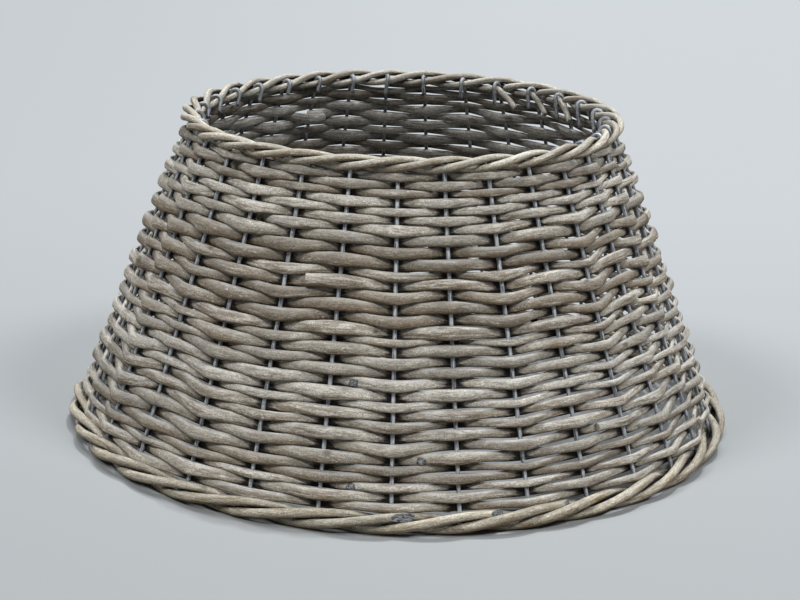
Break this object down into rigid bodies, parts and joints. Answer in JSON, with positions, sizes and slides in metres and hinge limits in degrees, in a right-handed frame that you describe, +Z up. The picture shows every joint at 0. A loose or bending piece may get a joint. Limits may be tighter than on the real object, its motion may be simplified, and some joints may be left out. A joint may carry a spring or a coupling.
{
  "type": "woven tree collar",
  "caption": "Open woven cone of willow rods on steel wire uprights, with rolled borders, that stands on its wide end and hides a tree's stand.",
  "frame": {"origin": "centre of the footprint, on the floor", "axes": "+Z up along the collar's axis, -Y towards the first wire at the front"},
  "size_m": [0.5686, 0.5686, 0.268],
  "materials": {
    "wall_willow": "grey-washed willow rods in their bark, matt",
    "top_border_willow": "slim willow strands, grey-beige, matt",
    "bottom_border_willow": "thick willow strands, grey-brown, matt",
    "wire_steel": "dull galvanised wire"
  },
  "bodies": {
    "root": {"wire_01": "wire_steel", "wire_02": "wire_steel", "wire_03": "wire_steel", "wire_04": "wire_steel", "wire_05": "wire_steel", "wire_06": "wire_steel", "wire_07": "wire_steel", "wire_08": "wire_steel", "wire_09": "wire_steel", "wire_10": "wire_steel", "wire_11": "wire_steel", "wire_12": "wire_steel", "wire_13": "wire_steel", "wire_14": "wire_steel", "wire_15": "wire_steel", "wire_16": "wire_steel", "wire_17": "wire_steel", "wire_18": "wire_steel", "wire_19": "wire_steel", "wire_20": "wire_steel", "wire_21": "wire_steel", "wire_22": "wire_steel", "wire_23": "wire_steel", "wire_24": "wire_steel", "wire_25": "wire_steel", "wire_26": "wire_steel", "wire_27": "wire_steel", "wire_28": "wire_steel", "wire_29": "wire_steel", "wire_30": "wire_steel", "wire_31": "wire_steel", "weaver_01": "wall_willow", "weaver_02": "wall_willow", "weaver_03": "wall_willow", "weaver_04": "wall_willow", "weaver_05": "wall_willow", "weaver_06": "wall_willow", "weaver_07": "wall_willow", "weaver_08": "wall_willow", "weaver_09": "wall_willow", "weaver_10": "wall_willow", "weaver_11": "wall_willow", "weaver_12": "wall_willow", "weaver_13": "wall_willow", "weaver_14": "wall_willow", "weaver_15": "wall_willow", "weaver_16": "wall_willow", "weaver_17": "wall_willow", "weaver_18": "wall_willow", "weaver_19": "wall_willow", "weaver_20": "wall_willow", "top_border_strand_1": "top_border_willow", "top_border_strand_2": "top_border_willow", "top_border_strand_3": "top_border_willow", "bottom_border_strand_1": "bottom_border_willow", "bottom_border_strand_2": "bottom_border_willow", "bottom_border_strand_3": "bottom_border_willow"}
  },
  "joints": []
}
